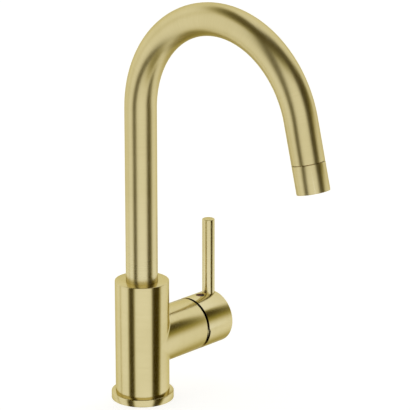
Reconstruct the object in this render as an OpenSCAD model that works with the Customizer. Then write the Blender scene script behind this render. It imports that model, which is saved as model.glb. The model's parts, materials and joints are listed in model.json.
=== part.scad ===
// Single-lever mixer tap with a swivelling gooseneck spout.
// Origin: centre of the base on the deck. +Z up, spout towards -Y, lever branch on +X.

/* [Body] */
// Outer diameter of the column, the side branch and the handle cap
body_d = 47.6; // [44:0.2:60]
// Height of the flat top of the column above the deck
body_top = 108.8; // [106:0.2:150]
// Chamfer on the turned edges of the body
edge = 0.6; // [0.2:0.1:1]

/* [Base] */
// Outer diameter of the trim ring on the deck
ring_d = 55.1; // [52:0.1:80]
// Height of the trim ring
ring_h = 6.6; // [5:0.1:12]
// Diameter of the spigot under the body that centres the trim ring
spigot_d = 40; // [36:0.5:42]
// Thickness of the rubber gasket let into the ring
gasket_t = 1.8; // [1:0.1:3]
// Width of the rubber gasket
gasket_w = 3.6; // [2:0.1:5]

/* [Inlets and fixing stud] */
// Thread diameter of the two hose inlets
inlet_d = 10; // [8:0.5:12]
// Depth of the inlet threads
inlet_depth = 12; // [8:0.5:16]
// Distance of the inlets from the body axis, towards the branch
inlet_x = 6; // [5:0.5:8]
// Sideways distance of each inlet from the middle of the body
inlet_y = 8; // [7.5:0.1:9]
// Thread diameter of the fixing stud hole
stud_d = 8; // [6:1:8]
// Depth of the fixing stud hole
stud_depth = 14; // [8:1:20]
// Distance of the stud hole behind the body axis
stud_x = 12.5; // [10:0.5:14]

/* [Side branch] */
// Height of the branch axis above the deck
branch_z = 51.8; // [46:0.2:58]
// Distance of the branch mouth from the body axis
branch_end = 59.8; // [58:0.2:80]
// Distance of the cartridge seat from the body axis
seat_x = 24; // [22:0.5:26]

/* [Cartridge] */
// Outer diameter of the cartridge
cartridge_d = 34.6; // [28:0.1:38]
// Wall of the cartridge housing
housing_wall = 2.1; // [1.5:0.1:3]
// Thickness of the base plate
plate_t = 4; // [3.6:0.1:6]
// Thickness of the fixed ceramic disc
fixed_disc_t = 4; // [3:0.1:5]
// Thickness of the moving ceramic disc
moving_disc_t = 3.5; // [3:0.1:4]
// Height of the coupler on the moving disc
coupler_t = 5; // [4.8:0.1:5.4]
// Diameter of the two inlet ports
inlet_port_d = 5; // [4:0.1:5.2]
// Diameter of the outlet port
outlet_port_d = 6.5; // [5:0.1:7]
// Sideways distance of the inlet ports from the branch axis
port_y = 4.05; // [4:0.05:4.5]
// Distance of the inlet ports above the branch axis
port_rise = 4.8; // [4.6:0.1:5.2]
// Distance of the outlet port below the branch axis
port_drop = 4.8; // [4.6:0.1:5.4]
// Width of the rubber section of the port seals
seal_w = 1; // [0.8:0.05:1.1]
// Distance of the lever pivot from the cartridge seat
pivot_h = 24; // [23.5:0.1:25]
// Diameter of the pivot pin
pin_d = 3; // [2:0.1:3.6]
// Diameter of the spindle barrel
spindle_d = 8; // [7:0.1:9]
// Diameter of the ball on the inner end of the spindle
ball_d = 4.8; // [4:0.1:4.8]
// Side of the square spindle stem
stem_w = 7; // [6:0.1:8]
// Height of the locknut
nut_h = 7; // [4:0.1:7]
// Radial height of the locknut rim around the cartridge
nut_rim = 1.7; // [1:0.1:2.4]

/* [Handle] */
// Gap between the branch mouth and the handle cap
cap_gap = 2.4; // [2:0.1:3]
// Length of the handle cap
cap_len = 31; // [30.8:0.2:44]
// Wall of the handle cap
cap_wall = 1.6; // [1.4:0.1:2.6]
// Solid end of the handle cap, which takes the lever
cap_end = 13.2; // [13:0.1:16]
// How far the lever opens outwards, in degrees
lever_open = 20; // [10:1:20]
// Diameter of the lever rod
lever_d = 11.2; // [9:0.1:11.4]
// Height of the lever tip above the deck
lever_top = 144.7; // [120:0.1:220]
// Distance of the lever axis from the outer face of the cap
lever_inset = 6.6; // [6.5:0.1:7]
// Diameter of the stud that holds the lever
lever_stud_d = 6; // [4:0.5:6]
// Diameter of the hot and cold index plug
plug_d = 7.9; // [6:0.1:8.4]
// Distance of the index plug from the outer face of the cap
plug_inset = 17.6; // [17.4:0.1:19]
// Diameter of the hub that grips the spindle
hub_d = 16.4; // [14:0.1:17]

/* [Spout] */
// Outer diameter of the spout tube
spout_d = 28; // [23:0.1:34]
// Wall of the spout tube
spout_wall = 1.5; // [1:0.1:2.5]
// Height where the arch begins
bend_z = 264.5; // [180:0.5:340]
// Radius of the arch, to the middle of the tube
bend_r = 91; // [60:0.5:120]
// Angle that the arch turns through
bend_angle = 166.2; // [150:0.2:180]
// Straight length after the arch
tail_len = 35.1; // [24:0.1:60]
// Length of the outlet collar
collar_len = 24; // [22:0.1:34]
// Shadow gap above the outlet collar
collar_gap = 0.5; // [0.3:0.1:1]
// Wall of the outlet collar around its thread
collar_wall = 2; // [1.5:0.1:3]
// Depth of the socket for the spout in the body
socket_depth = 28.8; // [28.2:0.1:30]
// Length of tube end inside the socket
tube_in = 4.8; // [3:0.1:5]
// Bore of the spout shank
shank_bore = 18; // [14:0.5:19]
// Thickness of the thrust washer under the shank
washer_t = 1; // [0.8:0.1:1.2]

/* [Screws and fits] */
// Thread diameter of the grub screws
grub_d = 5; // [4:0.5:6]
// Clearance between pieces that are clamped or screwed together
fit = 0.05; // [0.02:0.01:0.1]
// Radial clearance of the spout in its socket
swivel_fit = 0.1; // [0.05:0.01:0.15]
// Radial clearance of loose moving pieces
loose = 0.35; // [0.3:0.05:0.4]
// Radial clearance of the spindle's ball in the coupler
ball_fit = 0.15; // [0.1:0.05:0.2]
// Clearance of the cap rim as it passes under the branch
rim_clear = 0.6; // [0.4:0.1:1]

/* [Hidden] */
$fn = 96;
over = 1;                                   // how far a cut runs past the face it opens

body_r = body_d / 2;
ring_r = ring_d / 2;
spigot_r = spigot_d / 2;
gasket_r = (ring_r + spigot_r) / 2;         // mean radius of the gasket
water_r = (inlet_port_d + 1) / 2;           // drilled ways from the inlets
mixed_r = (outlet_port_d + 1) / 2;          // drilled way to the spout
mixed_x = inlet_x - water_r - mixed_r - 4;  // it rises clear of the inlets

// Cartridge, measured along the branch from the body axis
cart_r = cartridge_d / 2;
inner_r = cart_r - housing_wall;
plate_x = seat_x + plate_t;
disc_x = plate_x + fixed_disc_t;
moving_x = disc_x + fit;
coupler_x = moving_x + moving_disc_t;
coupler_end = coupler_x + coupler_t;
pivot_x = seat_x + pivot_h;
ball_r = ball_d / 2;
coupler_floor = 0.6;                        // thickness left under the ball
ball_x = coupler_x + coupler_floor + loose / 2 + ball_r;
arm = pivot_x - ball_x;                     // lever arm from the pivot to the ball
stroke = arm * lever_open * PI / 180;       // travel of the moving disc
moving_r = inner_r - stroke - loose;
coupler_flat = 7.6;                         // half width of the coupler between its rails
chamber_r = 3.2;                            // middle of the mixing chamber, clear of the closed ports
chamber_half = 50;                          // half angle of its lobe over the outlet port
carrier_x = coupler_end + 0.65;             // inner face of the carrier flange
carrier_flange = 2.8;
shoulder_x = carrier_x + carrier_flange + 0.3;
shoulder_t = 2.2;
nut_x = shoulder_x + shoulder_t;
nut_r = cart_r + nut_rim;
carrier_neck = cart_r - 5.3;                // radius of the carrier neck
carrier_end = pivot_x + 4;
spindle_r = spindle_d / 2;
slot_half = spindle_r / cos(lever_open) + (pivot_x - carrier_x) * tan(lever_open) + loose;
squeeze = 0.02;                             // an O-ring is drawn this much inside its groove
oring_w = 1.6;                              // section of the carrier O-ring
oring_x = shoulder_x + shoulder_t / 2;
seal_lip = 0.35;                            // land between a port and its seal
seal_h = 1.4;                               // depth of the seal grooves
key_r = 1.5;                                // locating pins of the base plate
key_len = 2.6;
key_y = cart_r - 5.1;                       // they follow the rim of the cartridge
key_z = 4.5;

// Handle
cap_x = branch_end + cap_gap;
cap_face = cap_x + cap_len;
cap_bore = body_r - cap_wall;
cavity_x = cap_face - cap_end;
hub_x = cap_x + 4.2;
lever_x = cap_face - lever_inset;
plug_x = cap_face - plug_inset;
lever_r = lever_d / 2;
plug_r = plug_d / 2;
cap_top = branch_z + body_r;
seat_drop = 1.6;                            // depth of the lever seat below the top of the cap
seat_z = cap_top - seat_drop;
plug_depth = 3.2;
plug_sink = 0.7;                            // how far the plug lies below the top of the cap
stem_end = cavity_x + 4;
stem_spare = 0.5;                           // space past the end of the stem
stud_len = 22;
stud_in = 13;                               // length of the stud inside the cap
mouth_p = branch_end - pivot_x;             // the mouth of the branch, seen from the pivot
mouth_reach = norm([mouth_p, body_r]) + rim_clear;
relief_x = pivot_x + sqrt(pow(mouth_reach, 2) - pow(cap_bore, 2));
sleeve_x = nut_x + nut_h;
sleeve_wall = 2;
sleeve_end = cap_x + 2.8;                   // the sleeve bridges the gap and stands a little inside the cap

// Spout
spout_r = spout_d / 2;
tube_bore = spout_r - spout_wall;
socket_r = spout_r + swivel_fit;
socket_z = body_top - socket_depth;
tube_z = body_top - tube_in;
shank_z = socket_z + washer_t + fit;
shank_r = spout_r;
spigot_len = 10;
draw = 0.02;                                // the tail is drawn this much thinner than the arch
lap = 0.05;                                 // and starts this far inside it
slide_w = 3;                                // width of a slide ring
slide_t = 1.1;                              // depth of its groove
oring_t = 2;                                // section of the spout O-rings
oring_room = 0.5;                           // groove is this much wider
land = 1.5;                                 // wall left between the grooves of the shank
slide_at = [tube_z - 1 - slide_w, shank_z + 0.8];
catch_half = 1.7;
catch_z = slide_at[0] - land - catch_half;  // middle of the groove for the spout screw
catch_depth = 2.4;
oring_at = [catch_z - catch_half - land - oring_t / 2, slide_at[1] + slide_w + land + oring_t / 2];
screw_tip = 1.3;                            // radius of the pointed end of the spout screw
screw_sink = 1.6;                           // how far its head lies below the surface
hex_depth = 2.5;                            // depth of the hexagon sockets of the grub screws

// Outlet, measured along the tail from the end of the tube
thread_r = spout_r - collar_wall;
insert_in = 14;
insert_out = 9.5;
insert_bore = thread_r - 4;
seal_t = 2;
shell_s = insert_out + seal_t;
shell_end = collar_gap + collar_len - 1;
shell_wall = 1.6;
shell_bore = thread_r - fit - shell_wall;
lip_w = 1.3;
grid_t = 2.5;
grid_s = shell_end - 1 - grid_t;
grid_hole = 0.85;
grid_pitch = 2.3;

// Places its children along the branch axis: local +Z runs out along +X, local +X points down
module on_branch(x = 0) {
    translate([x, 0, branch_z]) rotate([0, 90, 0]) children();
}

// Places its children at the end of the tube: local +Z runs out along the tail
module on_tail(s = 0) {
    translate([0, -bend_r, bend_z]) rotate([bend_angle, 0, 0])
        translate([0, bend_r, tail_len + s]) children();
}

// A round bar with a chamfer at its far end
module bar(r, h, c) {
    cylinder(r = r, h = h - c);
    translate([0, 0, h - c]) cylinder(r1 = r, r2 = r - c, h = c);
}

// A plain ring
module hoop(r_out, r_in, h) {
    difference() {
        cylinder(r = r_out, h = h);
        translate([0, 0, -over]) cylinder(r = r_in, h = h + 2 * over);
    }
}

// An annular groove cut, from r_in outwards
module groove(r_in, h, r_out) {
    translate([0, 0, -h / 2]) hoop(r_out, r_in, h);
}

// Puts its children at the two inlet ports of the cartridge, on the branch axis
module at_inlets() {
    for (side = [-1, 1]) translate([-port_rise, side * port_y, 0]) children();
}

// Puts its children at the outlet port of the cartridge, on the branch axis
module at_outlet() {
    translate([port_drop, 0, 0]) children();
}

// The three water ports through a plate of the cartridge
module port_holes(h) {
    at_inlets() translate([0, 0, -over]) cylinder(d = inlet_port_d, h = h + 2 * over);
    at_outlet() translate([0, 0, -over]) cylinder(d = outlet_port_d, h = h + 2 * over);
}

// Rings round the three ports: the seals, or with grow the grooves that hold them
module port_rings(h, grow = 0) {
    in_r = inlet_port_d / 2 + seal_lip;
    out_r = outlet_port_d / 2 + seal_lip;
    at_inlets() hoop(in_r + seal_w + grow, in_r - grow, h);
    at_outlet() hoop(out_r + seal_w + grow, out_r - grow, h);
}

// The arch of the spout for a given profile, turned from the vertical leg to the tail
module arch() {
    translate([0, -bend_r, bend_z]) rotate([90, 0, 90])
        rotate_extrude(angle = bend_angle) translate([bend_r, 0]) children();
}

// ---- Deck side ----

module base_ring() {
    color("darkkhaki") difference() {
        bar(ring_r, ring_h, edge);
        translate([0, 0, -over]) cylinder(r = spigot_r + fit, h = ring_h + 2 * over);
        translate([0, 0, -over]) hoop(gasket_r + gasket_w / 2, gasket_r - gasket_w / 2, gasket_t + over);
    }
}

module base_gasket() {
    color("dimgray") hoop(gasket_r + gasket_w / 2, gasket_r - gasket_w / 2, gasket_t);
}

module body() {
    inlet_top = branch_z + port_rise;
    mixed_z = branch_z - port_drop;
    color("darkkhaki") difference() {
        union() {
            cylinder(r = spigot_r, h = ring_h + over);
            translate([0, 0, ring_h]) bar(body_r, body_top - ring_h, edge);
            on_branch() bar(body_r, branch_end, edge);
        }
        // socket for the spout, and its screw at the back
        translate([0, 0, socket_z]) cylinder(r = socket_r, h = socket_depth + over);
        translate([0, 0, catch_z]) rotate([-90, 0, 0]) cylinder(d = grub_d, h = body_r + over);
        // bore for the cartridge, and the wider thread of its nut
        on_branch(seat_x) cylinder(r = cart_r + fit, h = branch_end);
        on_branch(nut_x) cylinder(r = nut_r, h = branch_end);
        on_branch(seat_x - key_len - loose) for (side = [-1, 1])
            translate([-key_z, side * key_y, 0]) cylinder(r = key_r + fit, h = key_len + loose + over);
        // hot and cold water: up from the hose threads, inwards, then along to the seat
        for (side = [-1, 1]) {
            translate([inlet_x, side * inlet_y, -over]) cylinder(d = inlet_d, h = inlet_depth + over);
            translate([inlet_x, side * inlet_y, 0]) cylinder(r = water_r, h = inlet_top);
            translate([inlet_x, side * inlet_y, inlet_top]) sphere(r = water_r);
            translate([inlet_x, side * inlet_y, inlet_top]) rotate([side * 90, 0, 0])
                cylinder(r = water_r, h = inlet_y - port_y);
            translate([inlet_x, side * port_y, inlet_top]) sphere(r = water_r);
            translate([inlet_x, side * port_y, inlet_top]) rotate([0, 90, 0])
                cylinder(r = water_r, h = seat_x - inlet_x + over);
        }
        // mixed water: back from the seat, then up to the spout
        translate([mixed_x, 0, mixed_z]) rotate([0, 90, 0])
            cylinder(r = mixed_r, h = seat_x - mixed_x + over);
        translate([mixed_x, 0, mixed_z]) sphere(r = mixed_r);
        translate([mixed_x, 0, mixed_z]) cylinder(r = mixed_r, h = socket_z - mixed_z + over);
        // fixing stud
        translate([-stud_x, 0, -over]) cylinder(d = stud_d, h = stud_depth + over);
    }
}

module spout_screw() {
    tip = shank_r - catch_depth + 0.5;
    shoulder = socket_r + 0.3;
    color("silver") translate([0, 0, catch_z]) rotate([-90, 0, 0]) difference() {
        union() {
            translate([0, 0, tip]) cylinder(r = screw_tip, h = shoulder - tip + over);
            translate([0, 0, shoulder]) cylinder(d = grub_d, h = body_r - screw_sink - shoulder);
        }
        translate([0, 0, body_r - screw_sink - hex_depth])
            cylinder(d = grub_d / 2, h = hex_depth + over, $fn = 6);
    }
}

// ---- Spout ----

module thrust_washer() {
    color("ivory") translate([0, 0, socket_z]) hoop(socket_r - loose, shank_bore / 2 + 1, washer_t);
}

module spout_shank() {
    color("khaki") difference() {
        union() {
            translate([0, 0, shank_z]) cylinder(r = shank_r, h = tube_z - shank_z);
            translate([0, 0, tube_z]) cylinder(r = tube_bore, h = spigot_len);
        }
        translate([0, 0, shank_z - over]) cylinder(d = shank_bore, h = tube_z + spigot_len);
        for (z = slide_at)
            translate([0, 0, z + slide_w / 2]) groove(shank_r - slide_t, slide_w, shank_r + over);
        for (z = oring_at)
            translate([0, 0, z]) groove(socket_r - oring_t, oring_t + oring_room, shank_r + over);
        translate([0, 0, catch_z]) groove(shank_r - catch_depth, 2 * catch_half, shank_r + over);
    }
}

// Two slit rings that snap into the shank and run in the socket
module spout_slide_rings() {
    slit = 12;
    color("ivory") for (z = slide_at) translate([0, 0, z]) rotate([0, 0, slit / 2])
        rotate_extrude(angle = 360 - slit) translate([shank_r - slide_t, 0])
            square([slide_t + swivel_fit / 2, slide_w]);
}

module spout_orings() {
    color("dimgray") for (z = oring_at) translate([0, 0, z])
        rotate_extrude() translate([socket_r - oring_t / 2 - squeeze, 0])
            circle(d = oring_t - 2 * squeeze, $fn = 32);
}

module spout_tube() {
    color("darkkhaki") {
        translate([0, 0, tube_z]) hoop(spout_r, tube_bore, bend_z - tube_z);
        arch() difference() {
            circle(r = spout_r);
            circle(r = tube_bore);
        }
        on_tail(-tail_len - lap) hoop(spout_r - draw, tube_bore + draw, tail_len + lap);
    }
}

module outlet_insert() {
    color("khaki") on_tail() difference() {
        union() {
            translate([0, 0, -insert_in]) cylinder(r = tube_bore, h = insert_in);
            cylinder(r = min(tube_bore, thread_r - fit), h = insert_out);
        }
        translate([0, 0, -insert_in - over]) cylinder(r = insert_bore, h = insert_in + insert_out + 2 * over);
    }
}

module outlet_collar() {
    color("darkkhaki") on_tail(collar_gap) difference() {
        bar(spout_r, collar_len, edge / 2);
        translate([0, 0, -over]) cylinder(r = thread_r, h = collar_len + 2 * over);
    }
}

module aerator_seal() {
    color("dimgray") on_tail(insert_out) hoop(thread_r - fit, insert_bore, seal_t);
}

module aerator_shell() {
    color("gainsboro") on_tail() difference() {
        translate([0, 0, shell_s]) cylinder(r = thread_r - fit, h = shell_end - shell_s);
        translate([0, 0, shell_s - over]) cylinder(r = shell_bore, h = grid_s + grid_t - shell_s + over);
        translate([0, 0, shell_s]) cylinder(r = shell_bore - lip_w, h = shell_end);
    }
}

// The disc of small holes that catches grit
module aerator_strainer() {
    color("white") on_tail(shell_s) difference() {
        cylinder(r = shell_bore - fit, h = 1.2);
        for (row = [1:3], n = [0:6 * row - 1]) rotate([0, 0, n * 60 / row])
            translate([row * 2.6, 0, -over]) cylinder(r = 0.6, h = 1.2 + 2 * over, $fn = 16);
    }
}

// The disc with a rubber ring that holds the flow steady
module flow_regulator() {
    color("lightgreen") on_tail(shell_s + 2.2) difference() {
        union() {
            cylinder(r = shell_bore - fit, h = 1.6);
            cylinder(r = 3, h = 4);
        }
        for (n = [0:11]) rotate([0, 0, n * 30])
            translate([shell_bore * 0.7, 0, -over]) cylinder(r = 1, h = 1.6 + 2 * over, $fn = 16);
    }
}

// The outlet grid: a disc of holes in a hexagonal pattern
module aerator_grid() {
    rows = 3;
    color("gainsboro") on_tail(grid_s) difference() {
        cylinder(r = shell_bore - fit, h = grid_t);
        for (row = [-rows:rows], n = [0:2 * rows - abs(row)])
            translate([(n - rows + abs(row) / 2) * grid_pitch, row * grid_pitch * sin(60), -over])
                cylinder(r = grid_hole, h = grid_t + 2 * over, $fn = 16);
    }
}

// ---- Cartridge ----

module cartridge_plate() {
    color("whitesmoke") on_branch(seat_x) {
        difference() {
            cylinder(r = cart_r, h = plate_t);
            port_holes(plate_t);
            translate([0, 0, -over]) port_rings(seal_h + over, fit);
            translate([0, 0, plate_t - seal_h]) port_rings(seal_h + over, fit);
        }
        for (side = [-1, 1]) translate([-key_z, side * key_y, -key_len]) cylinder(r = key_r, h = key_len);
    }
}

module seat_seals() {
    color("dimgray") on_branch(seat_x) port_rings(seal_h);
}

module disc_seals() {
    color("dimgray") on_branch(plate_x - seal_h) port_rings(seal_h);
}

module fixed_disc() {
    color("white") on_branch(plate_x) difference() {
        cylinder(r = inner_r - fit, h = fixed_disc_t);
        port_holes(fixed_disc_t);
    }
}

module cartridge_housing() {
    color("whitesmoke") on_branch(plate_x) difference() {
        cylinder(r = cart_r, h = nut_x - plate_x);
        translate([0, 0, -over]) cylinder(r = inner_r, h = shoulder_x - plate_x + over);
        cylinder(r = carrier_neck + loose, h = nut_x);
    }
}

// The moving disc, with the mixing chamber that joins the inlets to the outlet as it slides
module moving_disc() {
    depth = 1.8;
    lobe_r = moving_r - 1.6;
    side = 2 * lobe_r * sin(chamber_half);
    ahead = 2 * lobe_r * cos(chamber_half);
    color("white") on_branch(moving_x) difference() {
        cylinder(r = moving_r, h = moving_disc_t);
        translate([0, 0, -over]) cylinder(r = chamber_r, h = depth + over);
        translate([0, 0, -over]) intersection() {
            cylinder(r = lobe_r, h = depth + over);
            linear_extrude(depth + over) polygon([[0, 0], [ahead, -side], [ahead, side]]);
        }
    }
}

module disc_coupler() {
    color("tan") on_branch(coupler_x) difference() {
        intersection() {
            cylinder(r = moving_r, h = coupler_t);
            translate([-moving_r, -coupler_flat, 0]) cube([2 * moving_r, 2 * coupler_flat, coupler_t]);
        }
        translate([0, 0, coupler_floor]) cylinder(r = ball_r + ball_fit, h = coupler_t);
    }
}

// The turning guide: a flange in the housing, a neck with a slot, and rails for the coupler
module lever_carrier() {
    rail_y = coupler_flat + 0.3;
    rail_out = inner_r - 2.9;
    rail_len = 6.4;
    rail_x = coupler_x + 1;
    color("tan") difference() {
        union() {
            on_branch(carrier_x) cylinder(r = inner_r - loose, h = carrier_flange);
            on_branch(carrier_x) cylinder(r = carrier_neck, h = carrier_end - carrier_x);
            on_branch(rail_x) for (side = [-1, 1])
                translate([-rail_len, side * (rail_y + rail_out) / 2 - (rail_out - rail_y) / 2, 0])
                    cube([2 * rail_len, rail_out - rail_y, carrier_x - rail_x + 1]);
        }
        on_branch(carrier_x - over)
            translate([-slot_half, -spindle_r - fit, 0])
                cube([2 * slot_half, 2 * (spindle_r + fit), carrier_end - carrier_x + 2 * over]);
        translate([pivot_x, -cart_r, branch_z]) rotate([-90, 0, 0]) cylinder(d = pin_d, h = 2 * cart_r);
        on_branch(oring_x) groove(carrier_neck + loose - oring_w, oring_w + 0.4, cart_r);
    }
}

module carrier_oring() {
    color("dimgray") on_branch(oring_x)
        rotate_extrude() translate([carrier_neck + loose - oring_w / 2 - squeeze, 0])
            circle(d = oring_w - 2 * squeeze, $fn = 32);
}

module pivot_pin() {
    pin_len = 2 * carrier_neck - 1.5;
    color("silver") translate([pivot_x, -pin_len / 2, branch_z]) rotate([-90, 0, 0])
        cylinder(d = pin_d, h = pin_len);
}

// The locknut that holds the cartridge down, with six notches for its key
module cartridge_nut() {
    color("khaki") on_branch(nut_x) difference() {
        cylinder(r = nut_r, h = nut_h);
        translate([0, 0, -over]) cylinder(r = carrier_neck + 2.3, h = nut_h + 2 * over);
        for (n = [0:5]) rotate([0, 0, n * 60])
            translate([carrier_neck + 2, -1.5, nut_h - 2.5]) cube([2.2, 3, 2.5 + over]);
    }
}

// The soft sleeve in the mouth of the branch, which keeps dirt out of the joint and hides its inside
module dust_sleeve() {
    color("dimgray") on_branch(sleeve_x) difference() {
        cylinder(r = nut_r, h = sleeve_end - sleeve_x);
        translate([0, 0, -over]) cylinder(r = nut_r - sleeve_wall, h = sleeve_end - sleeve_x + 2 * over);
    }
}

// ---- Handle ----

module spindle() {
    barrel_x = pivot_x - 6;
    barrel_end = pivot_x + 5;
    neck_r = ball_r * 0.55;                 // thin enough to swing in the mouth of the coupler
    color("khaki") difference() {
        union() {
            translate([ball_x, 0, branch_z]) sphere(r = ball_r, $fn = 48);
            on_branch(ball_x) cylinder(r = neck_r, h = barrel_x - ball_x + over);
            on_branch(barrel_x) cylinder(r = spindle_r, h = barrel_end - barrel_x);
            on_branch(barrel_end - over)
                translate([-stem_w / 2, -stem_w / 2, 0]) cube([stem_w, stem_w, stem_end - barrel_end + over]);
        }
        translate([pivot_x, -spindle_r - over, branch_z]) rotate([-90, 0, 0])
            cylinder(d = pin_d + 2 * fit, h = 2 * (spindle_r + over));
    }
}

module handle_cap() {
    relief_top = 2.6;                       // the relief starts just above the middle of the rim
    relief_run = 4.6;                       // and reaches its full depth this much lower
    relief_d = relief_x - cap_x;
    socket = stem_w / 2 + fit;
    color("darkkhaki") difference() {
        union() {
            difference() {
                on_branch(cap_x) bar(body_r, cap_len, edge);
                on_branch(cap_x - over) cylinder(r = cap_bore, h = cavity_x - cap_x + over);
            }
            on_branch(hub_x) cylinder(d = hub_d, h = cavity_x - hub_x + over);
            translate([plug_x, 0, branch_z]) cylinder(r = plug_r + 1.2, h = body_r - cap_wall / 2);
        }
        // square socket for the spindle and the grub screw that locks it
        on_branch(hub_x - over) translate([-socket, -socket, 0])
            cube([2 * socket, 2 * socket, stem_end + stem_spare - hub_x + over]);
        translate([plug_x, 0, branch_z]) cylinder(d = grub_d, h = body_r);
        translate([plug_x, 0, cap_top - plug_depth]) cylinder(r = plug_r + fit, h = plug_depth + over);
        // seat and thread for the lever
        translate([lever_x, 0, seat_z]) cylinder(r = lever_r + fit, h = seat_drop + over);
        translate([lever_x, 0, seat_z - stud_in]) cylinder(d = lever_stud_d, h = stud_in + over);
        // relief in the lower half of the rim, so that the cap can tilt past the branch
        translate([cap_x, body_r + over, branch_z]) rotate([90, 0, 0]) linear_extrude(2 * (body_r + over))
            polygon([[-over, relief_top + over], [-over, -body_r - over], [relief_d, -body_r - over],
                [relief_d, relief_top - relief_run], [0, relief_top], [-over, relief_top]]);
    }
}

module handle_screw() {
    screw_len = 12;
    color("silver") translate([plug_x, 0, branch_z + stem_w / 2]) difference() {
        cylinder(d = grub_d, h = screw_len);
        translate([0, 0, screw_len - hex_depth]) cylinder(d = grub_d / 2, h = hex_depth + over, $fn = 6);
    }
}

module lever_stud() {
    color("silver") translate([lever_x, 0, seat_z - stud_in]) cylinder(d = lever_stud_d, h = stud_len);
}

module lever_rod() {
    color("darkkhaki") translate([lever_x, 0, seat_z]) difference() {
        bar(lever_r, lever_top - seat_z, edge);
        translate([0, 0, -over]) cylinder(d = lever_stud_d, h = stud_len - stud_in + 0.5 + over);
    }
}

// One half of the index plug: side is 1 for the hot half at the back, -1 for the cold half
module plug_half(side) {
    translate([plug_x, 0, cap_top - plug_depth]) intersection() {
        cylinder(r = plug_r, h = plug_depth - plug_sink);
        translate([-plug_r, side > 0 ? 0 : -plug_r, 0]) cube([2 * plug_r, plug_r, plug_depth]);
    }
}

module index_hot() {
    color("firebrick") plug_half(1);
}

module index_cold() {
    color("steelblue") plug_half(-1);
}

base_ring();
base_gasket();
body();
spout_screw();
thrust_washer();
spout_shank();
spout_slide_rings();
spout_orings();
spout_tube();
outlet_insert();
outlet_collar();
aerator_seal();
aerator_shell();
aerator_strainer();
flow_regulator();
aerator_grid();
cartridge_plate();
seat_seals();
disc_seals();
fixed_disc();
cartridge_housing();
moving_disc();
disc_coupler();
lever_carrier();
carrier_oring();
pivot_pin();
cartridge_nut();
dust_sleeve();
spindle();
handle_cap();
handle_screw();
lever_stud();
lever_rod();
index_hot();
index_cold();
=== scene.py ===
import json
import math

import bmesh
import bpy
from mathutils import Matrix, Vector


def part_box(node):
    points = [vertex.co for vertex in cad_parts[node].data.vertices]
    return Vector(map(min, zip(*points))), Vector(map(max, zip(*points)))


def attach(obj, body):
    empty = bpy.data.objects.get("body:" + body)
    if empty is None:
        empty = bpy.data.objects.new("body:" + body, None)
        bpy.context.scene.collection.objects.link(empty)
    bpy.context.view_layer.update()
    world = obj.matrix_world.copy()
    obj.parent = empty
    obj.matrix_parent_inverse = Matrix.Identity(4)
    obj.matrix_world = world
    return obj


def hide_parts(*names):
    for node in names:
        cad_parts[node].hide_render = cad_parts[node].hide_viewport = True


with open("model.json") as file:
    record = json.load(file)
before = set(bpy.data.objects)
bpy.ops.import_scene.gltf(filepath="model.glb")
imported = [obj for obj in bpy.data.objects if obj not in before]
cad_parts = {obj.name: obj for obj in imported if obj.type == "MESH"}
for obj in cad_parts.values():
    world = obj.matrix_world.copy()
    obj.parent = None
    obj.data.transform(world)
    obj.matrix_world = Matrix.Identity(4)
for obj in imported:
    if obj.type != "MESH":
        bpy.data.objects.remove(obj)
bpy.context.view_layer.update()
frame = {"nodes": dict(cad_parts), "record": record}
print("frame loaded:", len(frame["nodes"]), "nodes")

# sizes shared by several pieces, taken from the frame
bodyLow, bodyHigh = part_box("body")
ringLow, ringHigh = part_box("base_ring")
capLow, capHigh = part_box("handle_cap")
rodLow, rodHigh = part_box("lever_rod")
tubeLow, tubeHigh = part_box("spout_tube")
bodyRadius = -bodyLow.x
branchZ = (capLow.z + capHigh.z) / 2
tubeRadius = tubeHigh.x
leverX = (rodLow.x + rodHigh.x) / 2
spout = {"bend": 0.091, "angle": math.radians(166.2), "tail": 0.0351, "wall": 0.0015}
bendZ = tubeHigh.z - tubeRadius - spout["bend"]
tailWay = Vector((0, -math.sin(spout["angle"]), math.cos(spout["angle"])))
tailAcross = Vector((0, math.cos(spout["angle"]), math.sin(spout["angle"])))
tailEnd = Vector((0, -spout["bend"], bendZ)) + spout["bend"] * tailAcross + spout["tail"] * tailWay

sideways = (0, math.pi / 2, 0)  # lays a rod along X, the way the branch points
tiny = 1e-5  # places closer than this are the same
spare = 0.002  # how far a cutter runs past the face it opens


def newRod(name, radius, length, place, turn=(0, 0, 0), corners=192, ends="NGON"):
    bpy.ops.object.select_all(action="DESELECT")
    bpy.ops.mesh.primitive_cylinder_add(
        vertices=corners, radius=radius, depth=length, end_fill_type=ends, location=place, rotation=turn
    )
    rod = bpy.context.object
    rod.name = name
    bpy.ops.object.transform_apply(location=True, rotation=True, scale=True)
    return rod


def newBlock(name, low, high):
    bpy.ops.object.select_all(action="DESELECT")
    bpy.ops.mesh.primitive_cube_add(size=1, location=(Vector(low) + Vector(high)) / 2)
    block = bpy.context.object
    block.name = name
    block.scale = Vector(high) - Vector(low)
    bpy.ops.object.transform_apply(location=True, rotation=True, scale=True)
    return block


def openEdit(piece):
    bpy.ops.object.select_all(action="DESELECT")
    bpy.context.view_layer.objects.active = piece
    piece.select_set(True)
    bpy.ops.object.mode_set(mode="EDIT")


def closeEdit():
    bpy.ops.object.mode_set(mode="OBJECT")


def pick(piece, kind, test):  # selects the faces or edges that pass the test
    bpy.ops.mesh.select_mode(type=kind)
    bpy.ops.mesh.select_all(action="DESELECT")
    shape = bmesh.from_edit_mesh(piece.data)
    for part in shape.faces if kind == "FACE" else shape.edges:
        part.select = test(part)
    shape.select_flush_mode()
    bmesh.update_edit_mesh(piece.data)


def middle(part):
    return sum((v.co for v in part.verts), Vector()) / len(part.verts)


def extrude(way):
    bpy.ops.mesh.extrude_region_move(TRANSFORM_OT_translate={"value": way})


def roundEdges(size, segments):
    bpy.ops.mesh.bevel(offset=size, segments=segments, affect="EDGES")


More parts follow.
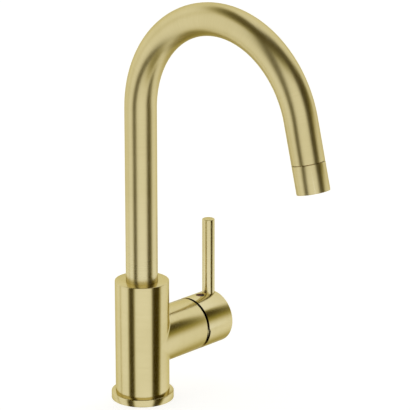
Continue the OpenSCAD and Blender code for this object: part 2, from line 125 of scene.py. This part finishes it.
def applyModifier(piece, kind, **settings):
    modifier = piece.modifiers.new(kind.lower(), kind)
    for key, value in settings.items():
        setattr(modifier, key, value)
    bpy.context.view_layer.objects.active = piece
    bpy.ops.object.modifier_apply(modifier=modifier.name)


def carve(piece, cutter):
    applyModifier(piece, "BOOLEAN", operation="DIFFERENCE", solver="EXACT", object=cutter)
    bpy.data.objects.remove(cutter)


def layBrush(piece, measure):  # where each point lies on the straightened piece, for the brushing
    lines = piece.data.attributes.new("brush", "FLOAT_VECTOR", "POINT")
    for spot, vertex in zip(lines.data, piece.data.vertices):
        spot.vector = measure(vertex.co)


def layPaintedShade(piece, test):  # marks the walls of a joint that get painted shade
    marks = piece.data.attributes.new("inside", "FLOAT", "POINT")
    for mark, vertex in zip(marks.data, piece.data.vertices):
        mark.value = float(test(vertex.co))


def alongZ(co, radius=bodyRadius):
    return Vector((co.x, co.y, co.z + radius - math.hypot(co.x, co.y)))


def onWall(vertex, radius):  # on the outside of the column or the ring
    return vertex.co.xy.length > radius - 10 * tiny


def offBranch(co):  # distance from the middle line of the branch
    return math.hypot(co.y, co.z - branchZ)


def alongX(co):
    return Vector((co.z - branchZ, co.y, co.x + bodyRadius - offBranch(co)))


def alongBody(co):
    onBranch = co.x > abs(co.z - branchZ) - 0.0003 and abs(co.z - branchZ) < bodyRadius + 0.001
    return alongX(co) if onBranch else alongZ(co)


def alongSpout(co):
    offset = Vector((co.y + spout["bend"], co.z - bendZ))
    swing = math.atan2(offset.y, offset.x)
    if swing < -math.pi / 2:
        swing += 2 * math.pi
    if swing <= 0:
        return Vector((co.x, co.y, co.z))
    if swing < spout["angle"]:
        return Vector((co.x, offset.length - spout["bend"], bendZ + spout["bend"] * swing))
    past = co - tailEnd
    start = bendZ + spout["bend"] * spout["angle"] + spout["tail"]
    return Vector((co.x, past.dot(tailAcross), start + past.dot(tailWay)))


def fromTail(co):  # how far past the tube's mouth, and how far from its axis
    past = co - tailEnd
    run = past.dot(tailWay)
    return run, (past - run * tailWay).length


def onRim(edge, run):
    spots = [fromTail(v.co) for v in edge.verts]
    return all(abs(at - run) < tiny and off > tubeRadius - 10 * tiny for at, off in spots)


def finishPiece(piece, body, nodes, finish, smooth=30):
    bpy.ops.object.select_all(action="DESELECT")
    bpy.context.view_layer.objects.active = piece
    piece.select_set(True)
    bpy.ops.object.shade_smooth_by_angle(angle=math.radians(smooth))
    piece.data.materials.clear()
    piece.data.materials.append(finish)
    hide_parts(*nodes)
    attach(piece, body)
    print("made", piece.name, len(piece.data.polygons), "faces")


class Wire:  # one output of a shader node, with sums written as sums
    def __init__(self, tree, socket=None):
        self.tree = tree
        self.socket = socket

    def node(self, kind, settings=None, sockets=None, out=0):
        made = self.tree.nodes.new(kind)
        for key, value in (settings or {}).items():
            if key == "stops":
                ramp = made.color_ramp.elements
                while len(ramp) < len(value):
                    ramp.new(1.0)
                for stop, (place, tint) in zip(ramp, value):
                    stop.position = place
                    stop.color = tint
            else:
                setattr(made, key, value)
        for key, value in (sockets or {}).items():
            if isinstance(value, Wire):
                self.tree.links.new(value.socket, made.inputs[key])
            else:
                made.inputs[key].default_value = value
        return Wire(self.tree, made.outputs[out] if made.outputs else None)

    def maths(self, operation, first, second=0.0):
        return self.node("ShaderNodeMath", {"operation": operation}, {0: first, 1: second})

    def __add__(self, other):
        return self.maths("ADD", self, other)

    def __sub__(self, other):
        return self.maths("SUBTRACT", self, other)

    def __mul__(self, other):
        return self.maths("MULTIPLY", self, other)

    def __rsub__(self, other):
        return self.maths("SUBTRACT", other, self)

    __radd__ = __add__
    __rmul__ = __mul__

    def rise(self, low, high):  # 0 below low, 1 above high, smooth between
        sockets = {"Value": self, "From Min": low, "From Max": high}
        return self.node("ShaderNodeMapRange", {"interpolation_type": "SMOOTHSTEP"}, sockets)

    def mix(self, first, second):  # first colour where self is 0, second where it is 1
        return self.node("ShaderNodeMix", {"data_type": "RGBA"}, {0: self, 6: first, 7: second}, 2)

    def split(self, out):
        return self.node("ShaderNodeSeparateXYZ", sockets={0: self}, out=out)


def newFinish(name):
    finish = bpy.data.materials.new(name)
    finish.use_nodes = True
    finish.node_tree.nodes.clear()
    return finish, Wire(finish.node_tree)


def coat(start, **sockets):
    sockets = {name.replace("_", " "): value for name, value in sockets.items()}
    surface = start.node("ShaderNodeBsdfPrincipled", sockets=sockets)
    start.node("ShaderNodeOutputMaterial", sockets={"Surface": surface})


def noise(start, vector, scale, stretch=(1, 1, 1), detail=3.0):
    placed = start.node("ShaderNodeMapping", sockets={"Vector": vector, "Scale": stretch})
    return start.node("ShaderNodeTexNoise", sockets={"Vector": placed, "Scale": scale, "Detail": detail})


# lighter colour on rounded edges: a painted highlight
def paintedEdgeHighlight(start, low=0.53, high=0.62):
    return start.node("ShaderNodeNewGeometry", out="Pointiness").rise(low, high)


brass = {
    "light": (0.70, 0.613, 0.335, 1),
    "deep": (0.645, 0.56, 0.29, 1),
    # painted highlight on rounded edges
    "edge": (0.80, 0.73, 0.47, 1),
    "rim": (0.72, 0.66, 0.42, 1),
    "inside": (0.22, 0.14, 0.04, 1),  # painted shade on the walls of the joint
    "lip": 0.0006,  # how far in from the outer surface the painted shade of the joint begins
    "hair": (45, 45, 4200),
    "streak": (14, 14, 480),
}


def brushedBrass(name, roughness):
    finish, start = newFinish(name)
    lines = start.node("ShaderNodeAttribute", {"attribute_name": "brush"}, out="Vector")
    hair = noise(start, lines, 1.0, brass["hair"])
    streak = noise(start, lines, 1.0, brass["streak"], 2.0)
    cloud = noise(start, lines, 22.0)
    edge = paintedEdgeHighlight(start)
    tone = 0.3 * hair + 0.15 * streak + 0.55 * cloud
    colour = tone.rise(0.35, 0.65).mix(brass["deep"], brass["light"])
    # rounded edges lightened: painted highlight
    colour = (0.6 * edge).mix(colour, brass["edge"])
    # the marked walls of the joint turn near-black brown: painted shade
    inside = start.node("ShaderNodeAttribute", {"attribute_name": "inside"}, out="Fac")
    colour = inside.mix(colour, brass["inside"])
    roughness = roughness + 0.06 * (hair - 0.5) + 0.04 * (cloud - 0.5) - 0.04 * edge
    height = hair + 0.2 * streak
    normal = start.node("ShaderNodeBump", sockets={"Strength": 0.05, "Distance": 0.00004, "Height": height})
    coat(
        start, Base_Color=colour, Metallic=1.0, Roughness=roughness, Normal=normal,
        Specular_Tint=brass["rim"],
    )
    return finish


def turnedMetal(name, light, deep, roughness, rings=3800.0):
    finish, start = newFinish(name)
    place = start.node("ShaderNodeTexCoord", out="Object")
    hair = noise(start, place, 1.0, (60, 60, rings))
    cloud = noise(start, place, 90.0)
    colour = (0.5 * hair + 0.5 * cloud).rise(0.35, 0.65).mix(deep, light)
    normal = start.node("ShaderNodeBump", sockets={"Strength": 0.12, "Distance": 0.00004, "Height": hair})
    coat(start, Base_Color=colour, Metallic=1.0, Roughness=roughness + 0.12 * (cloud - 0.5), Normal=normal)
    return finish


def mouldedPart(name, light, deep, roughness, grain=1400.0, relief=0.15, lacquer=0.0, gloss=0.5):
    finish, start = newFinish(name)
    place = start.node("ShaderNodeTexCoord", out="Object")
    speck = noise(start, place, grain)
    cloud = noise(start, place, 120.0)
    edge = paintedEdgeHighlight(start, 0.55, 0.7)
    colour = (0.4 * speck + 0.6 * cloud).rise(0.3, 0.7).mix(deep, light)
    # rounded edges lightened: painted highlight
    colour = (0.35 * edge).mix(colour, light)
    normal = start.node("ShaderNodeBump", sockets={"Strength": relief, "Distance": 0.00003, "Height": speck})
    coat(
        start, Base_Color=colour, Roughness=roughness + 0.15 * (cloud - 0.5), Normal=normal,
        Specular_IOR_Level=gloss, Coat_Weight=lacquer, Coat_Roughness=0.08,
    )
    return finish


finishes = {
    "brushed_brass": brushedBrass("brushedBrass", 0.2),
    "brushed_tube": brushedBrass("brushedTube", 0.31),
    "brushed_lever": brushedBrass("brushedLever", 0.25),
    "raw_brass": turnedMetal("turnedBrass", (0.72, 0.53, 0.25, 1), (0.58, 0.40, 0.17, 1), 0.34),
    "steel": turnedMetal("stainlessSteel", (0.62, 0.62, 0.60, 1), (0.48, 0.48, 0.47, 1), 0.3),
    "black_rubber": mouldedPart(
        "blackRubber", (0.045, 0.030, 0.016, 1), (0.026, 0.017, 0.009, 1), 0.66, gloss=0.1
    ),
    "slide_plastic": mouldedPart("naturalAcetal", (0.86, 0.84, 0.76, 1), (0.80, 0.77, 0.68, 1), 0.42),
    "white_plastic": mouldedPart("whitePlastic", (0.82, 0.82, 0.79, 1), (0.74, 0.74, 0.71, 1), 0.45),
    "grey_plastic": mouldedPart("greyPlastic", (0.36, 0.36, 0.35, 1), (0.28, 0.28, 0.27, 1), 0.4),
    "ceramic": mouldedPart(
        "lappedCeramic", (0.90, 0.88, 0.83, 1), (0.84, 0.81, 0.76, 1), 0.2, 2600.0, 0.05, 0.4
    ),
    "red_enamel": mouldedPart(
        "redEnamel", (0.24, 0.075, 0.02, 1), (0.16, 0.045, 0.012, 1), 0.5, 1800.0, 0.08, 0.0, 0.12
    ),
    "blue_enamel": mouldedPart(
        "blueEnamel", (0.028, 0.033, 0.04, 1), (0.018, 0.022, 0.03, 1), 0.5, 1800.0, 0.08, 0.0, 0.12
    ),
}
for part in frame["record"]["subparts"]:
    node = frame["nodes"][part["node"]]
    node.data.materials.clear()
    node.data.materials.append(finishes[part["material_slot"]])
print("finishes ready:", len(finishes))


# trim ring on the deck, with a groove for its gasket underneath
ring = {"groove": 0.0036, "grooveDepth": 0.0018, "spigot": 0.02005, "round": 0.0007, "foot": 0.0003}


def makeRing():
    radius = ringHigh.x
    piece = newRod("trimRing", radius, ringHigh.z, (0, 0, ringHigh.z / 2), ends="NOTHING")
    applyModifier(piece, "SOLIDIFY", thickness=radius - ring["spigot"], offset=-1)
    openEdit(piece)
    pick(piece, "FACE", lambda f: f.normal.z < -0.9)
    bpy.ops.mesh.inset(thickness=(radius - ring["spigot"] - ring["groove"]) / 2)
    extrude((0, 0, ring["grooveDepth"]))
    pick(piece, "EDGE", lambda e: all(v.co.z > ringHigh.z - tiny and onWall(v, radius) for v in e.verts))
    roundEdges(ring["round"], 4)
    pick(piece, "EDGE", lambda e: all(v.co.z < tiny and onWall(v, radius) for v in e.verts))
    roundEdges(ring["foot"], 2)
    closeEdit()
    layBrush(piece, alongZ)
    finishPiece(piece, "body", ["base_ring"], finishes["brushed_brass"])


# column and side branch in one casting
casting = {
    "fillet": 0.0012, "filletFrom": 14, "strip": 0.0024, "rim": 0.0005, "spigot": 0.02,
    "socket": 0.0141, "socketDepth": 0.0288,
    "bore": 0.01735, "boreFrom": 0.024, "nut": 0.019, "nutFrom": 0.0465,
    "screw": 0.0025, "screwZ": 0.0968, "screwIn": 0.011, "screwCut": 0.014,
    "inlet": 0.005, "inletDepth": 0.012, "inletX": 0.006, "inletY": 0.008,
    "stud": 0.004, "studDepth": 0.014, "studX": -0.0125,
    "shadeDeep": 0.004,  # how deep the painted shade reaches inside the mouth of the branch
}


def onSeam(vertex):
    off = vertex.co.x - abs(vertex.co.z - branchZ)
    return abs(off) < tiny and vertex.co.x > -tiny and onWall(vertex, bodyRadius)


def pastMitre(face, keepOut):  # what the mitre cuts away, with the rear end of the branch
    beyond = keepOut * (middle(face).x - abs(middle(face).z - branchZ)) > 0.1 * tiny
    return beyond and abs(face.normal.z) < 0.999 or keepOut < 0 and face.normal.x < -0.99


def drillUp(piece, radius, depth, x, y):  # a hole from the deck upwards
    reach = depth + spare
    carve(piece, newRod("cut", radius, reach, (x, y, reach / 2 - spare), corners=64))


def makeCasting():
    column = newRod("mixerBody", bodyRadius, bodyHigh.z - ringHigh.z, (0, 0, (bodyHigh.z + ringHigh.z) / 2))
    branch = newRod("branch", bodyRadius, bodyHigh.x, (bodyHigh.x / 2, 0, branchZ), sideways)
    for piece, keepOut in ((column, 1), (branch, -1)):  # mitre both along the two slanting planes
        openEdit(piece)
        for side in (1, -1):
            pick(piece, "FACE", lambda f: middle(f).x > 10 * tiny)
            bpy.ops.mesh.bisect(plane_co=(0, 0, branchZ), plane_no=(1, 0, side))
        pick(piece, "FACE", lambda f: pastMitre(f, keepOut))
        bpy.ops.mesh.delete(type="FACE")
        closeEdit()
    bpy.ops.object.select_all(action="DESELECT")
    branch.select_set(True)
    column.select_set(True)
    bpy.context.view_layer.objects.active = column
    bpy.ops.object.join()
    openEdit(column)
    bpy.ops.mesh.select_all(action="SELECT")
    bpy.ops.mesh.remove_doubles(threshold=2e-6)
    bpy.ops.mesh.normals_make_consistent(inside=False)
    sharp = math.radians(casting["filletFrom"])
    pick(column, "EDGE", lambda e: all(onSeam(v) for v in e.verts) and abs(e.calc_face_angle(0)) > sharp)
    roundEdges(casting["fillet"], 5)
    for side in (1, -1):  # an edge on both sides of the seam keeps the shading of the long strips even
        for apart in (casting["strip"], -casting["strip"]):
            pick(column, "FACE", lambda f: middle(f).x > 0 and abs(f.normal.z) < 0.9999)
            bpy.ops.mesh.bisect(plane_co=(apart, 0, branchZ), plane_no=(1, 0, side))
    top, end = bodyHigh.z, bodyHigh.x
    pick(column, "EDGE", lambda e: all(v.co.z > top - tiny for v in e.verts))
    roundEdges(casting["rim"], 3)
    pick(column, "EDGE", lambda e: all(v.co.x > end - tiny for v in e.verts))
    roundEdges(casting["rim"], 3)
    pick(column, "FACE", lambda f: f.normal.z < -0.99 and middle(f).z < ringHigh.z + 10 * tiny)
    bpy.ops.mesh.inset(thickness=bodyRadius - casting["spigot"])
    extrude((0, 0, -ringHigh.z))
    closeEdit()
    reach = casting["socketDepth"] + spare
    carve(column, newRod("cut", casting["socket"], reach, (0, 0, top + spare - reach / 2)))
    for radius, start in ((casting["bore"], casting["boreFrom"]), (casting["nut"], casting["nutFrom"])):
        reach = end - start + spare
        carve(column, newRod("cut", radius, reach, (start + reach / 2, 0, branchZ), sideways))
    middleY = bodyRadius + casting["screwCut"] / 2 - casting["screwIn"]
    backwards = (math.pi / 2, 0, 0)
    screwAt = (0, middleY, casting["screwZ"])
    carve(column, newRod("cut", casting["screw"], casting["screwCut"], screwAt, backwards, 48))
    for side in (1, -1):
        drillUp(column, casting["inlet"], casting["inletDepth"], casting["inletX"], side * casting["inletY"])
    drillUp(column, casting["stud"], casting["studDepth"], casting["studX"], 0)
    layBrush(column, alongBody)
    mouth = end - casting["shadeDeep"]
    # paints shade on the walls inside the mouth of the branch
    layPaintedShade(column, lambda co: co.x > mouth and offBranch(co) < bodyRadius - brass["lip"])
    finishPiece(column, "body", ["body"], finishes["brushed_brass"])


# bent spout tube
tube = {"corners": 128, "steps": 96, "rim": 0.0002}


def makeTube():
    bpy.ops.object.select_all(action="DESELECT")
    bpy.ops.mesh.primitive_circle_add(
        vertices=tube["corners"], radius=tubeRadius, location=(0, 0, tubeLow.z)
    )
    piece = bpy.context.object
    piece.name = "gooseneckTube"
    bpy.ops.object.transform_apply(location=True, rotation=True, scale=True)
    openEdit(piece)
    bpy.ops.mesh.select_mode(type="VERT")
    bpy.ops.mesh.select_all(action="SELECT")
    extrude((0, 0, bendZ - tubeLow.z))
    bpy.ops.mesh.spin(
        steps=tube["steps"], angle=-spout["angle"], center=(0, -spout["bend"], bendZ), axis=(1, 0, 0)
    )
    extrude(tailWay * spout["tail"])
    bpy.ops.mesh.select_all(action="SELECT")
    bpy.ops.mesh.remove_doubles(threshold=1e-6)
    bpy.ops.mesh.normals_make_consistent(inside=False)
    closeEdit()
    applyModifier(piece, "SOLIDIFY", thickness=spout["wall"], offset=-1)
    openEdit(piece)
    pick(piece, "EDGE", lambda e: onRim(e, 0))
    roundEdges(tube["rim"], 2)
    closeEdit()
    layBrush(piece, alongSpout)
    finishPiece(piece, "spout", ["spout_tube"], finishes["brushed_tube"])


# collar at the outlet, beyond a thin seam
collar = {"gap": 0.0005, "length": 0.024, "wall": 0.002, "round": 0.0002}


def makeCollar():
    centre = tailEnd + tailWay * (collar["gap"] + collar["length"] / 2)
    turn = (spout["angle"], 0, 0)
    piece = newRod("outletCollar", tubeRadius, collar["length"], centre, turn, tube["corners"], "NOTHING")
    applyModifier(piece, "SOLIDIFY", thickness=collar["wall"], offset=-1)
    openEdit(piece)
    ends = collar["gap"], collar["gap"] + collar["length"]
    pick(piece, "EDGE", lambda e: onRim(e, ends[0]) or onRim(e, ends[1]))
    roundEdges(collar["round"], 3)
    closeEdit()
    layBrush(piece, alongSpout)
    finishPiece(piece, "spout", ["outlet_collar"], finishes["brushed_tube"])


# turning cap, with a relief in the lower half of its rear rim so that it can tilt past the branch
cap = {
    "wall": 0.0016, "end": 0.0132, "hub": 0.0082, "hubFrom": 0.0042, "stem": 0.00355, "stemIn": 0.0045,
    "round": 0.0009, "reliefDeep": 0.00144, "reliefTop": 0.0026, "reliefRun": 0.0046, "reliefWide": 0.03,
    "plugX": 0.0756, "plug": 0.004, "plugDepth": 0.0032, "screw": 0.0025,
    "seat": 0.00565, "seatDepth": 0.0016, "stud": 0.003, "studIn": 0.013, "shadeDeep": 0.006,
}


def drillDown(piece, radius, depth, x):  # a hole from the top of the cap downwards
    reach = depth + spare
    place = (x, 0, branchZ + bodyRadius + spare - reach / 2)
    carve(piece, newRod("cut", radius, reach, place, corners=64))


def makeCap():
    back, front = capLow.x, capHigh.x
    floorX = front - cap["end"]
    piece = newRod("handleCap", bodyRadius, front - back, ((front + back) / 2, 0, branchZ), sideways)
    openEdit(piece)
    pick(piece, "EDGE", lambda e: all(v.co.x > front - tiny for v in e.verts))
    roundEdges(cap["round"], 5)
    pick(piece, "FACE", lambda f: f.normal.x < -0.99)
    bpy.ops.mesh.inset(thickness=cap["wall"])
    extrude((floorX - back, 0, 0))
    bpy.ops.mesh.inset(thickness=bodyRadius - cap["wall"] - cap["hub"])
    extrude((back + cap["hubFrom"] - floorX, 0, 0))
    closeEdit()
    wide = cap["reliefWide"]
    low = (back - spare / 2, -wide, branchZ - wide)
    high = (back + cap["reliefDeep"], wide, branchZ + cap["reliefTop"])
    wedge = newBlock("cut", low, high)
    openEdit(wedge)  # its upper edge slopes, so that the relief runs out
    pick(wedge, "EDGE", lambda e: all(v.co.x > back and v.co.z > branchZ for v in e.verts))
    bpy.ops.transform.translate(value=(0, 0, -cap["reliefRun"]))
    closeEdit()
    carve(piece, wedge)
    stem = cap["stem"]
    low = (back, -stem, branchZ - stem)
    carve(piece, newBlock("cut", low, (floorX + cap["stemIn"], stem, branchZ + stem)))
    drillDown(piece, cap["screw"], bodyRadius, cap["plugX"])
    drillDown(piece, cap["plug"], cap["plugDepth"], cap["plugX"])
    drillDown(piece, cap["stud"], cap["seatDepth"] + cap["studIn"], leverX)
    drillDown(piece, cap["seat"], cap["seatDepth"], leverX)
    layBrush(piece, alongX)
    # paints shade on the walls inside the rear of the cap
    layPaintedShade(piece, lambda co: co.x < back + cap["shadeDeep"] and offBranch(co) < bodyRadius - brass["lip"])
    finishPiece(piece, "handle", ["handle_cap"], finishes["brushed_brass"])


# pin lever
lever = {"round": 0.0007, "studIn": 0.0095}


def makeLever():
    radius, height = rodHigh.x - leverX, rodHigh.z - rodLow.z
    piece = newRod("leverRod", radius, height, (leverX, 0, (rodHigh.z + rodLow.z) / 2), corners=96)
    openEdit(piece)
    pick(piece, "EDGE", lambda e: all(v.co.z > rodHigh.z - tiny for v in e.verts))
    roundEdges(lever["round"], 4)
    pick(piece, "FACE", lambda f: f.normal.z < -0.99)
    bpy.ops.mesh.inset(thickness=radius - cap["stud"])
    extrude((0, 0, lever["studIn"]))
    closeEdit()
    layBrush(piece, lambda co: alongZ(co - Vector((leverX, 0, 0)), radius))
    finishPiece(piece, "handle", ["lever_rod"], finishes["brushed_lever"])


# index plug of two half discs
index = {"corners": 64, "round": 0.0002}
halves = (("hotMark", "index_hot", 1, "red_enamel"), ("coldMark", "index_cold", -1, "blue_enamel"))


def makeIndex():
    low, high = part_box("index_hot")
    radius, height = (high.x - low.x) / 2, high.z - low.z
    place = ((low.x + high.x) / 2, 0, (low.z + high.z) / 2)
    for name, node, side, slot in halves:
        piece = newRod(name, radius, height, place, corners=index["corners"])
        openEdit(piece)
        bpy.ops.mesh.select_all(action="SELECT")
        bpy.ops.mesh.bisect(plane_co=(0, 0, 0), plane_no=(0, side, 0), clear_inner=True, use_fill=True)
        pick(piece, "EDGE", lambda e: all(v.co.z > high.z - tiny for v in e.verts))
        roundEdges(index["round"], 2)
        closeEdit()
        finishPiece(piece, "handle", [node], finishes[slot])


makeRing()
makeCasting()
makeTube()
makeCollar()
makeCap()
makeLever()
makeIndex()


# floor, surrounding light and camera
studio = {
    "azimuth": math.radians(-47.79), "elevation": math.radians(17.18), "distance": 2.2425, "lens": 230.9,
    "floor": 12, "drop": 0.0002,
}
aim = Vector((0.01161, -0.06394, 0.18794))
back = Vector((
    math.sin(studio["azimuth"]) * math.cos(studio["elevation"]),
    -math.cos(studio["azimuth"]) * math.cos(studio["elevation"]),
    math.sin(studio["elevation"]),
))

bpy.ops.object.select_all(action="DESELECT")
bpy.ops.mesh.primitive_plane_add(size=studio["floor"], location=(0, 0, -studio["drop"]))
floor = bpy.context.object
floor.name = "floor"
floor.visible_glossy = False  # the metal mirrors only the studio's walls
paper, start = newFinish("floorPaper")
grain = noise(start, start.node("ShaderNodeTexCoord", out="Object"), 3.0)
coat(
    start, Base_Color=grain.mix((0.40, 0.40, 0.40, 1), (0.44, 0.44, 0.44, 1)), Roughness=0.9,
    Emission_Color=(1, 1, 1, 1), Emission_Strength=0.8,
)
floor.data.materials.append(paper)

# black flags: left and right edge in degrees round from the camera, how each edge leans with height,
# the extra lean of the right edge high up, how soft each edge is and how dark the flag
flags = (
    {
        "left": -57.5, "right": -31.5, "leanLeft": 0.1, "leanRight": 0.05, "high": 0.25,
        "soft": (5, 5), "dark": 1.0,
    },
    {
        "left": 43.0, "right": 79.0, "leanLeft": 0.0, "leanRight": 0.3, "high": 0.1,
        "soft": (4, 10), "dark": 1.0,
    },
    {
        "left": -105.0, "right": -97.0, "leanLeft": 0.0, "leanRight": 0.0, "high": 0.0,
        "soft": (3, 3), "dark": 0.3,
    },
)
flagFoot = (-74, -54)  # the heights in degrees between which the flags begin
leanFoot, highFrom = 20, 8  # degrees below the horizon that the lean counts from, and above it the extra one
# dark zones round the flags: the heights between which each begins and ends, the directions it keeps
# clear of or stands at, with the degrees over which it fades, and how dark it is
zones = {
    "overhead": {"begins": (38, 60), "clear": (150, 35, 60), "dark": 0.95},
    "below": {"begins": (-85, -68), "ends": (-65, -38), "clear": ((92, 48, 80), (-68, 12, 40)), "dark": 0.85},
    "behind": {"ends": (-50, -18), "at": (180, 25, 75), "dark": 0.42},
    "corner": {"begins": (-12, 28), "ends": (34, 41), "at": (93, 11, 25)},
}
# colour of the surroundings from lit to dark
tones = (
    (0.0, (1, 1, 1, 1)),
    (0.25, (0.72, 0.68, 0.5, 1)),
    (0.5, (0.42, 0.37, 0.1, 1)),
    (1.0, (0.05, 0.034, 0, 1)),
)


def litStudio():
    world = bpy.data.worlds.new("studioLight")
    bpy.context.scene.world = world
    world.use_nodes = True
    world.node_tree.nodes.clear()
    start = Wire(world.node_tree)
    way = start.node("ShaderNodeTexCoord", out="Generated")
    x, y, z = (way.split(out) for out in ("X", "Y", "Z"))
    height = z.maths("ARCSINE", z) * (180 / math.pi)

    def roundFrom(centre):  # degrees round from the direction at centre, seen from above
        turn = math.atan2(back.y, back.x) + math.radians(centre)
        ahead = x * math.cos(turn) + y * math.sin(turn)
        aside = y * math.cos(turn) - x * math.sin(turn)
        return aside.maths("ARCTAN2", aside, ahead) * (180 / math.pi)

    def farFrom(centre, near, far):  # 0 near that direction, 1 beyond far degrees from it
        off = roundFrom(centre)
        return off.maths("ABSOLUTE", off).rise(near, far)

    angle = roundFrom(0)
    above = height.maths("MAXIMUM", height - highFrom, 0)
    zone = zones["overhead"]
    dark = height.rise(*zone["begins"]) * farFrom(*zone["clear"]) * zone["dark"]
    zone = zones["below"]
    below = height.rise(*zone["begins"]) * (1 - height.rise(*zone["ends"])) * zone["dark"]
    for spot in zone["clear"]:
        below = below * farFrom(*spot)
    zone = zones["behind"]
    behind = (1 - height.rise(*zone["ends"])) * (1 - farFrom(*zone["at"])) * zone["dark"]
    zone = zones["corner"]
    corner = height.rise(*zone["begins"]) * (1 - height.rise(*zone["ends"])) * (1 - farFrom(*zone["at"]))
    for patch in (below, behind, corner):
        dark = dark.maths("MAXIMUM", dark, patch)
    for flag in flags:
        left = angle - flag["leanLeft"] * (height + leanFoot) - flag["left"]
        right = angle - flag["leanRight"] * (height + leanFoot) - flag["high"] * above - flag["right"]
        inner, outer = flag["soft"]
        strip = left.rise(-inner, inner) * (1 - right.rise(-outer, outer))
        strip = strip * height.rise(*flagFoot) * flag["dark"]
        dark = dark.maths("MAXIMUM", dark, strip)
    seen = start.node("ShaderNodeLightPath", out="Is Camera Ray")
    colour = start.node("ShaderNodeValToRGB", {"stops": tones}, {0: dark * (1 - seen)})
    light = start.node("ShaderNodeBackground", sockets={"Color": colour, "Strength": 1.0})
    start.node("ShaderNodeOutputWorld", sockets={"Surface": light})


litStudio()

bpy.ops.object.camera_add(location=aim + back * studio["distance"])
camera = bpy.context.object
camera.rotation_mode = "QUATERNION"
camera.rotation_quaternion = (-back).to_track_quat("-Z", "Y")
camera.data.lens = studio["lens"]
camera.data.sensor_width = 36
camera.data.clip_start = 0.1
camera.data.clip_end = 50
bpy.context.scene.camera = camera
bpy.context.scene.view_settings.view_transform = "Standard"
print("studio ready")
